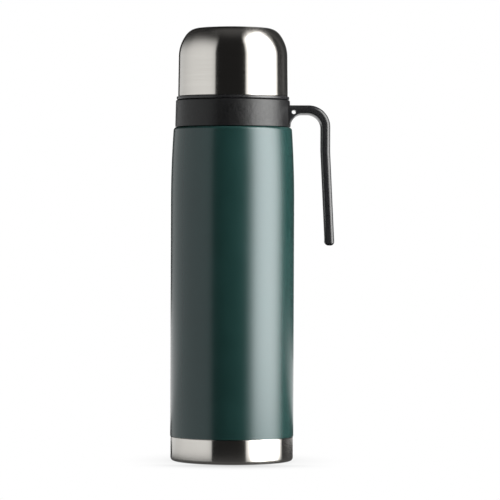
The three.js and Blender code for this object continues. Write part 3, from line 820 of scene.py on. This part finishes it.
# ---- Stopper --------------------------------------------------------------------------------

cover_seat = 22.6
cover_low = grip_top - 3.8
chamber_radius, chamber_low = 15.2, cover_low - 11.2
plug_bore, seat_bore = 12.0, 9.0
window_low, window_high = grip_low + 1, grip_low + 5
bridge_top = lip_top - 15


def stopper_body():
    """The stopper: plug, land in the mouth, grip with its button chamber, and the valve's bridge."""
    land, outer = neck_bore - 0.4, grip_radius
    ledge = plug_low + 5
    outline = softened([
        (seat_bore, plug_low), (plug_root - 1, plug_low), (plug_root, plug_low + 1, 0.3),
        (plug_root, lip_top - 5), (land, lip_top - 4), (land, grip_low), (outer, grip_low, 0.6),
        (outer, window_high + 0.5, 0), (outer, window_high + 0.9, 0), (outer, grip_top - 1.2, 0),
        (outer - 0.4, grip_top - 0.45, 0), (outer - 1.2, grip_top, 0.2),
        (cover_seat, grip_top, 0.3), (cover_seat, cover_low), (chamber_radius, cover_low),
        (chamber_radius, chamber_low), (plug_bore, chamber_low), (plug_bore, ledge), (seat_bore, ledge),
    ], 0.2)
    hub, hub_low_end, hub_top, hole, through = 4.5, bridge_top - 3.2, bridge_top + 0.1, 2.3, 9
    boss = lathed([(0, hub_low_end), (hub, hub_low_end), (hub, hub_top), (0, hub_top)], PIN)
    arms = []
    for i in range(3):
        arm = box_cutter(0, plug_bore + 1, -1.5, 1.5, bridge_top - 3, bridge_top)
        turn = Matrix.Rotation(math.radians(120 * i + 30), 3, "Z")
        bmesh.ops.rotate(arm, matrix=turn, verts=arm.verts)
        arms.append(arm)
    # two facets more than the boss, so that the two never share an edge
    low_end, high_end = bridge_top - through, bridge_top + through
    stem_hole = lathed([(0, low_end), (hole, low_end), (hole, high_end), (0, high_end)], PIN + 2)
    thread = ridge(
        plug_root - 0.5, plug_crest, width=1.3, lead=stopper_lead, turns=2.2,
        start_angle=0, start_height=plug_low + 6.2,
    )
    pour_half, tab_half, past = 6, 5.3, 40
    pours = box_cutter(-past, past, -pour_half, pour_half, window_low, window_high, easing=0.5)
    tabs = box_cutter(-tab_half, tab_half, -past, past, window_low, window_high)
    mesh = worked(lathed(outline), joins=[boss, *arms, thread], cuts=[stem_hole, pours, tabs])
    finished("stopper_body", mesh, "stopper", STOPPER)


def stopper_cover():
    """The ring round the button, with a raised rim and a groove."""
    outer, bottom, top, hole = reach("stopper_cover"), low("stopper_cover"), high("stopper_cover"), 13.4
    edge, groove = 1.2, top - 0.5
    mesh = lathed(softened([
        (outer, bottom), (outer, top, 0.6), (outer - 2.2, top), (outer - 2.6, groove),
        (outer - 3.4, groove), (outer - 3.8, top), (hole + edge, top, 0.6), (hole, top - edge, 0.6),
        (hole, bottom),
    ], 0.2))
    finished("stopper_cover", mesh, "stopper", GRAINED)


def push_button():
    """The button: a shallow dish with three fine rings round its middle."""
    bottom, top, outer = low("push_button"), high("push_button"), 13.0
    ceiling, wall, flange, flange_top = top - 2.4, 1.6, reach("push_button"), bottom + 1.8
    dish_radius, dish_low, depth, rim_rise = 7.8, top - 0.8, 0.3, 0.3
    dish = []
    for r in (2.6, 4.4, 6.2):
        z = dish_low + rim_rise * (r / dish_radius) ** 2
        dish += [(r, z), (r + 0.25, z - depth), (r + 0.65, z - depth), (r + 0.9, z + 0.02)]
    mesh = lathed(softened([
        (outer - wall, bottom), (flange, bottom, 0.3), (flange, flange_top, 0.3), (outer, flange_top),
        (outer, top, 0.9), (dish_radius, top - 0.5, 1.5), *dish[::-1], (0, dish_low), (0, ceiling),
        (outer - wall, ceiling, 0.5),
    ], 0.15), FINE)
    finished("push_button", mesh, "valve", BUTTON)


def valve_parts():
    """The stem with its foot, the plate with a groove under it, and the seal round the plate."""
    bottom, top, plate = low("valve_stem"), high("valve_stem"), low("valve_plate")
    foot_radius, stem_radius, foot_top = 3.2, 2.0, plate - GAP
    stem = lathed(softened([
        (0, bottom), (foot_radius, bottom, 0.6), (foot_radius, foot_top, 0.3), (stem_radius, foot_top),
        (stem_radius, top, 0.4), (0, top),
    ], 0.15), PIN)
    finished("valve_stem", stem, "valve", STOPPER)
    outer, upper, hole = reach("valve_plate"), high("valve_plate"), 2.3
    groove = plate + 0.5
    disc = lathed(softened([
        (hole, plate), (5, plate), (5.6, groove), (9, groove), (9.6, plate), (outer, plate, 0.5),
        (outer, upper, 0.4), (hole, upper),
    ], 0.2), FINE)
    finished("valve_plate", disc, "valve", STOPPER)
    ring_seal("valve_seal", "valve", hole)


def valve_spring():
    """A coil of round wire; its end coils lie closer together."""
    radius, wire, coils, steps, facets = 5.6, 0.6, 6.5, 260, 12
    bottom, top, crowding = low("valve_spring") + wire, high("valve_spring") - wire, 0.11
    mesh = bmesh.new()
    loops = []
    for i in range(steps + 1):
        t = i / steps
        a = t * coils * 2 * math.pi
        z = bottom + (top - bottom) * (t - crowding * math.sin(2 * math.pi * t))
        middle = Vector((radius * math.cos(a), radius * math.sin(a), z))
        outward = Vector((math.cos(a), math.sin(a), 0))
        loops.append([
            mesh.verts.new((middle + wire * (outward * math.cos(b) + Vector((0, 0, math.sin(b))))) * MM)
            for b in (2 * math.pi * k / facets for k in range(facets))
        ])
    spring = finished("valve_spring", tube(mesh, loops), "stopper", WIRE)
    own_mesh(spring)


def release_tab(side, name, body):
    """A small sliding tab with three ribs on its face."""
    bottom, top, outer = low(name), high(name), reach("release_tab_rear")
    inner, half, under, over = chamber_radius + 2, 5, 200, 300
    near, far = (-PAST, inner) if side > 0 else (-inner, PAST)
    cuts = [
        box_cutter(-PAST, -half, -PAST, PAST, under, over),
        box_cutter(half, PAST, -PAST, PAST, under, over),
        box_cutter(-PAST, PAST, near, far, under, over),
    ]
    groove_half, depth, pitch = 0.35, 0.5, 2
    groove_near, groove_far = sorted((side * outer, side * outer - side * depth))
    for i in range(4):
        left, right = i * pitch - 3 - groove_half, i * pitch - 3 + groove_half
        cuts.append(box_cutter(left, right, groove_near, groove_far, bottom - 1, top + 1))
    face = lathed([(0, bottom), (outer, bottom), (outer, top), (0, top)])
    finished(name, worked(face, cuts=cuts), body, BUTTON)


# ---- Build the pieces -----------------------------------------------------------------------

outer_shell()
base_cup()
base_pad()
inner_vessel()
inner_bottom()
collar()
handle()
cup_shell()
cup_liner()
ring_seal("cup_seal", "cup_lifter", reach("cup_seal") - 3.5)
stopper_body()
stopper_cover()
ring_seal("stopper_gasket", "stopper_lifter", 24.1)
ring_seal("collar_gasket", "vessel", hub_radius)
push_button()
valve_parts()
valve_spring()
release_tab(1, "release_tab_rear", "rear_tab")
release_tab(-1, "release_tab_front", "front_tab")

for node, finish in {
    "copper_foil": COPPER, "getter": ZINC, "vacuum_seal_bead": GLASS,
    "handle_screw_front": ZINC, "handle_screw_rear": ZINC,
}.items():
    kept = frame["nodes"][node]
    kept.data.materials.clear()
    kept.data.materials.append(finish)


# ---- Studio ---------------------------------------------------------------------------------

DARK_ROOM = 0.018  # radiance of the room
CEILING = 0.1  # radiance straight above
CEILING_EDGE, CEILING_FULL = 0.82, 0.98  # how high, as a sine, the ceiling begins and is full
CARD_EDGE = math.cos(math.radians(9))  # how wide the white card behind is
SENSOR = 36
DISTANCE = 2.12  # from the flask's axis to the camera
FRAME_WIDTH = 0.3489  # what the camera takes in at that distance
CAMERA_HEIGHT = 0.1730
CAMERA_SIDE = 0.0123
CAMERA_TILT = 0.705
CAMERA_ROLL = 0.22
CLOSE, FAR = 0.05, 60


class Light(Nodes):
    """A material that does nothing but shine."""

    def __init__(self, name):
        self.material = bpy.data.materials.new(name)
        super().__init__(self.material)
        self.tree.nodes.remove(self.tree.nodes["Principled BSDF"])

    def shine(self, strength, tone=(1.0, 1.0, 1.0)):
        glow = self.node("ShaderNodeEmission", {}, {"Color": (*tone, 1), "Strength": strength})
        self.feed(self.tree.nodes["Material Output"].inputs["Surface"], glow)
        return self.material


def staged(name, mesh, light, hidden_from, drop=0.0):
    """Stands a piece of the studio in the scene, unseen by the named kinds of ray."""
    made = stood(name, mesh)
    made.data.materials.append(light)
    made.location.z = -drop
    for kind in hidden_from:
        setattr(made, "visible_" + kind, False)


def flat_card(x0, x1, y0, y1):
    mesh = bmesh.new()
    mesh.faces.new([mesh.verts.new((x, y, 0)) for x, y in ((x0, y0), (x1, y0), (x1, y1), (x0, y1))])
    return mesh


def panel(name, profile, rows, tone):
    """A standing light panel round the flask. Each point of profile is its angle in degrees to the
    right of the front, its distance and its radiance; each point of rows is a height and the share
    of that radiance there."""
    mesh = bmesh.new()
    brightness = mesh.verts.layers.float_color.new("brightness")
    columns = []
    for angle, distance, radiance in profile:
        a = math.radians(angle)
        column = []
        for height, share in rows:
            corner = mesh.verts.new((distance * math.sin(a), -distance * math.cos(a), height))
            corner[brightness] = (radiance * share, radiance * share, radiance * share, 1)
            column.append(corner)
        columns.append(column)
    for one, two in zip(columns, columns[1:]):
        for k in range(len(rows) - 1):
            mesh.faces.new([one[k], one[k + 1], two[k + 1], two[k]])
    light = Light(name + "_light")
    reading = light.node("ShaderNodeAttribute", {"attribute_name": "brightness"}, outlet="Fac")
    staged(name, mesh, light.shine(reading, tone), ("camera", "shadow"))


def floor():
    """A white floor that only the camera sees, with a painted contact shadow close before what stands on
    it.
    """
    half, shade_reach, darkest, open_front = 6.0, 0.055, 0.45, 0.25
    light = Light("pale_floor")
    settings, sockets = {"samples": 16}, {"Distance": shade_reach}
    # painted shadow: ambient occlusion dims the floor's glow near the flask
    painted_shadow_ao = light.node("ShaderNodeAmbientOcclusion", settings, sockets, outlet="AO")
    shade = light.spread(painted_shadow_ao, darkest, 1.0, start=0.45, end=0.9)
    place = light.node("ShaderNodeTexCoord", outlet="Object")
    depth = light.node("ShaderNodeSeparateXYZ", {}, {0: place}, outlet="Y")
    # the painted shadow is kept mostly to the floor in front of the flask
    before = light.spread(depth, open_front, 1.0, start=-0.032, end=-0.046)
    lit = light.node("ShaderNodeMix", {"data_type": "FLOAT"}, {0: before, 2: 1.0, 3: shade})
    hidden_from = ("glossy", "diffuse", "transmission")
    staged("studio_floor", flat_card(-half, half, -half, half), light.shine(lit), hidden_from, drop=0.0002)


def world():
    """A dark room with a paler ceiling and a narrow white card behind; white all over to the camera."""
    made = bpy.data.worlds.new("studio")
    bpy.context.scene.world = made
    room = Nodes(made)
    place = room.node("ShaderNodeTexCoord", outlet="Generated")
    height = room.node("ShaderNodeSeparateXYZ", {}, {0: place}, outlet="Z")
    depth = room.node("ShaderNodeSeparateXYZ", {}, {0: place}, outlet="Y")
    seen = room.node("ShaderNodeLightPath", outlet="Is Camera Ray")
    dim = room.spread(height, DARK_ROOM, CEILING, start=CEILING_EDGE, end=CEILING_FULL)
    card = room.node("ShaderNodeMath", {"operation": "GREATER_THAN"}, {0: depth, 1: CARD_EDGE})
    white = room.node("ShaderNodeMath", {"operation": "MAXIMUM"}, {0: card, 1: seen})
    shade = room.node("ShaderNodeMix", {"data_type": "FLOAT"}, {0: white, 2: dim, 3: 1.0})
    background = room.tree.nodes["Background"]
    room.feed(background.inputs["Strength"], shade)
    room.feed(background.inputs["Color"], (1, 1, 1, 1))


def floor_glow():
    """The patch of white floor that the foot's rounded edge mirrors."""
    mesh = bmesh.new()
    bmesh.ops.create_circle(mesh, cap_ends=True, segments=64, radius=0.075)
    light = Light("floor_glow_light").shine(0.1)
    staged("floor_glow", mesh, light, ("camera", "shadow", "diffuse"), drop=0.0001)


def rear_glow():
    """The lit floor behind the flask, which its back mirrors."""
    light = Light("rear_glow_light").shine(1.2)
    staged("rear_glow", flat_card(-1.3, 1.3, 0.3, 2.2), light, ("camera", "shadow"), drop=0.0001)


def camera():
    data = bpy.data.cameras.new("camera")
    made = bpy.data.objects.new("camera", data)
    bpy.context.scene.collection.objects.link(made)
    data.sensor_width = SENSOR
    data.lens = SENSOR * DISTANCE / FRAME_WIDTH
    data.clip_start, data.clip_end = CLOSE, FAR
    tilt = Matrix.Rotation(math.radians(90 - CAMERA_TILT), 4, "X")
    roll = Matrix.Rotation(math.radians(CAMERA_ROLL), 4, "Z")
    made.matrix_world = Matrix.Translation((CAMERA_SIDE, -DISTANCE, CAMERA_HEIGHT)) @ tilt @ roll
    bpy.context.scene.camera = made


LEFT_LIGHT = [
    (-36, 0.78, 0.4), (-38, 0.77, 0.85), (-46, 0.74, 1.02), (-61, 0.73, 1.04),
    (-90, 0.84, 1.0), (-119, 1.42, 0.82), (-134, 1.85, 0.8), (-151, 3.08, 0.75),
]
RIGHT_LIGHT = [
    (26.5, 1.2, 0.8), (29, 1.2, 1.3), (34, 1.2, 2.4), (39, 1.2, 5.5), (45, 1.2, 9.0), (54, 1.2, 11.0),
    (62, 1.2, 11.5), (78, 1.2, 11.0), (90, 1.2, 7.2), (98, 1.2, 4.0), (103, 1.2, 1.6), (108, 1.2, 0.3),
]
RIGHT_WALL = [
    (110, 1.2, 0.045), (124, 1.2, 0.05), (129, 1.2, 0.09),
    (136, 1.2, 0.09), (141, 1.2, 0.05), (168, 1.2, 0.04),
]
panel("left_softbox", LEFT_LIGHT, [(-1.0, 1.0), (0.55, 1.0), (1.15, 0.0)], (0.985, 1.0, 1.0))
panel("right_softbox", RIGHT_LIGHT, [(-0.3, 0.5), (-0.1, 1.0), (1.95, 1.0)], (1.0, 1.0, 0.985))
panel("right_wall", RIGHT_WALL, [(-0.5, 1.0), (1.95, 1.0)], (1.0, 1.0, 1.0))
floor()
floor_glow()
rear_glow()
world()
camera()
scene = bpy.context.scene
scene.view_settings.view_transform = "Standard"
scene.view_settings.look = "None"
